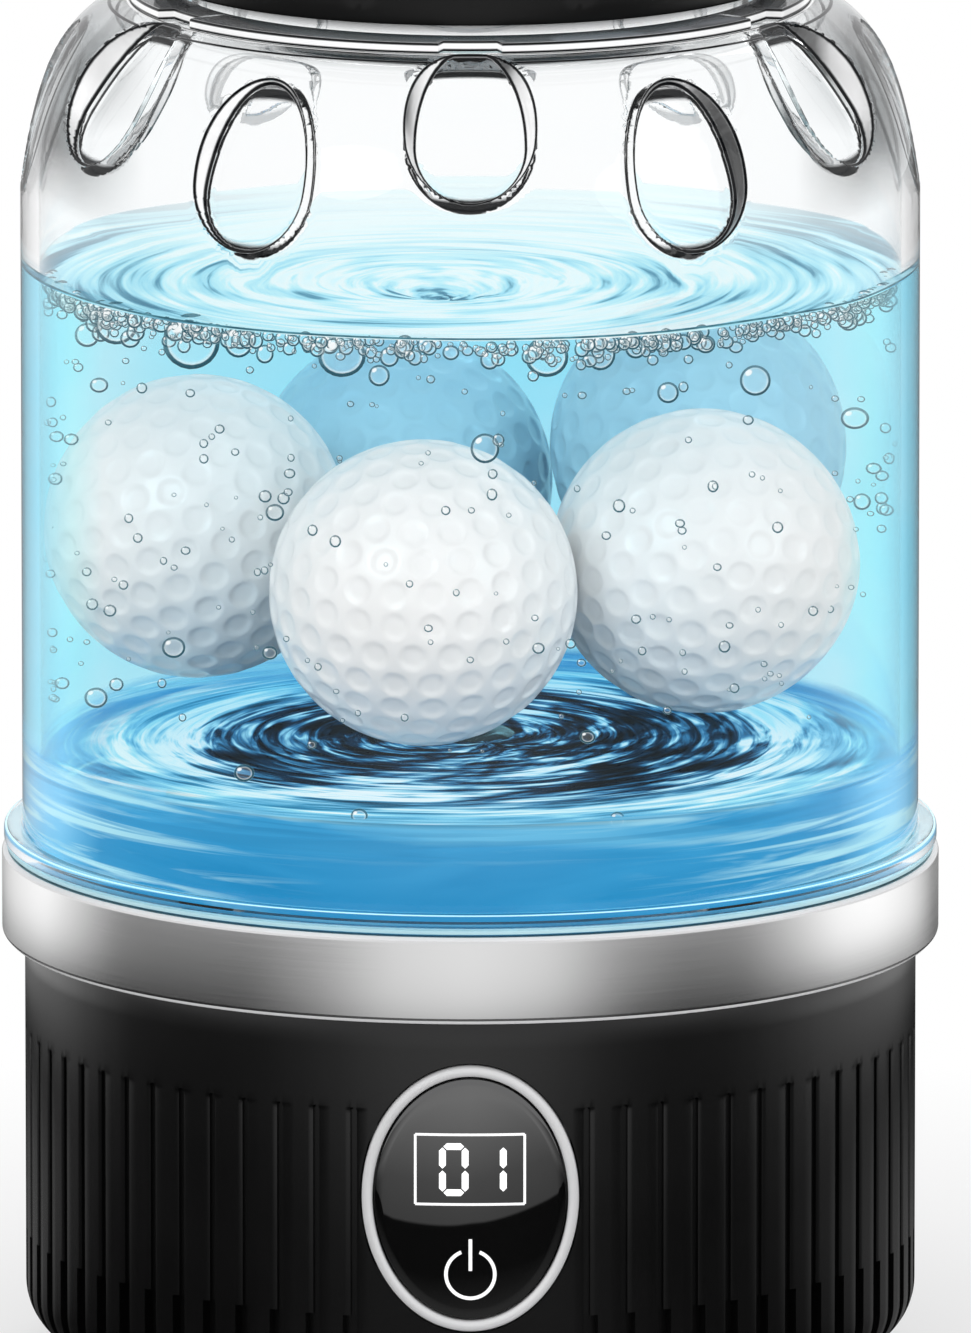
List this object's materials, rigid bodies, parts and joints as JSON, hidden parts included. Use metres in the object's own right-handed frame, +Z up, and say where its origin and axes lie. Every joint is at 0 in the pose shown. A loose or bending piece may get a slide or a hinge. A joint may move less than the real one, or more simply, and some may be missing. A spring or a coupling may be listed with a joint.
{
  "type": "golf ball washer",
  "caption": "Cordless golf ball washer: clear domed jar with egg-shaped recesses on a ribbed motor base with metal ring, oval panel, spinning impeller and screw lid.",
  "frame": {"origin": "centre of the underside of the feet, on the jar's axis", "axes": "+Z up along the jar's axis, -Y towards the control panel, +X to the right of a user who faces the panel"},
  "size_m": [0.132, 0.132, 0.2208],
  "materials": {
    "black_plastic": "satin black moulded plastic, fine grain",
    "lens": "high gloss black",
    "satin_metal": "satin, brushed round the ring",
    "clear_plastic": "clear polished plastic",
    "rubber": "matt",
    "silicone": "translucent white silicone",
    "nylon": "natural nylon",
    "steel": "bright drawn",
    "bronze": "sintered bronze",
    "board": "green solder mask",
    "cell_wrap": "shrink wrap"
  },
  "bodies": {
    "base": {"base_shell": "black_plastic", "bottom_cover": "black_plastic", "panel_bezel": "satin_metal", "panel_lens": "lens", "display_board": "board", "display_module": "lens", "touch_pad": "steel", "trim_ring": "satin_metal", "top_deck": "black_plastic", "coupling_cup": "black_plastic", "shaft_seal": "rubber", "upper_bush": "bronze", "lower_bush": "bronze", "gear_plate": "nylon", "battery_cradle": "black_plastic", "main_board": "board", "usb_socket": "steel", "foot_1": "rubber", "foot_2": "rubber", "foot_3": "rubber", "foot_4": "rubber", "battery_1": "cell_wrap", "battery_2": "cell_wrap", "motor_can": "steel"},
    "motor_rotor": {"motor_shaft": "steel", "motor_pinion": "bronze"},
    "drive": {"drive_gear": "nylon", "drive_shaft": "steel", "drive_dog": "black_plastic"},
    "jar": {"jar": "clear_plastic", "foot_gasket": "rubber", "jar_floor": "clear_plastic", "hub_bush": "bronze", "hub_seal": "rubber"},
    "impeller": {"impeller": "black_plastic", "impeller_shaft": "steel", "driven_dog": "black_plastic"},
    "lid_liner": {"lid_liner": "silicone"},
    "lid_cap": {"lid_cap": "black_plastic"},
    "port_cover": {"port_cover": "rubber"}
  },
  "joints": [
    {"name": "drive_spin", "type": "hinge", "parent": "base", "child": "drive", "pos_m": [0, 0, 0.045], "axis": [0, 0, 1], "continuous": true},
    {"name": "motor_spin", "type": "hinge", "parent": "base", "child": "motor_rotor", "pos_m": [0, 0.024, 0.044], "axis": [0, 0, 1], "continuous": true},
    {"name": "jar_lift", "type": "slide", "parent": "base", "child": "jar", "axis": [0, 0, 1], "range_m": [0, 0.06]},
    {"name": "impeller_spin", "type": "hinge", "parent": "jar", "child": "impeller", "pos_m": [0, 0, 0.08], "axis": [0, 0, 1], "continuous": true},
    {"name": "lid_lift", "type": "slide", "parent": "jar", "child": "lid_liner", "axis": [0, 0, 1], "range_m": [0, 0.05]},
    {"name": "lid_turn", "type": "hinge", "parent": "lid_liner", "child": "lid_cap", "pos_m": [0, 0, 0.21], "axis": [0, 0, 1], "range_deg": [0, 450]},
    {"name": "port_cover_hinge", "type": "hinge", "parent": "base", "child": "port_cover", "pos_m": [0, 0.0628, 0.0123], "axis": [-1, 0, 0], "range_deg": [0, 100]}
  ],
  "couplings": [
    {"joint": "motor_spin", "follows": "drive_spin", "ratio": -3},
    {"joint": "impeller_spin", "follows": "drive_spin", "ratio": 1}
  ]
}
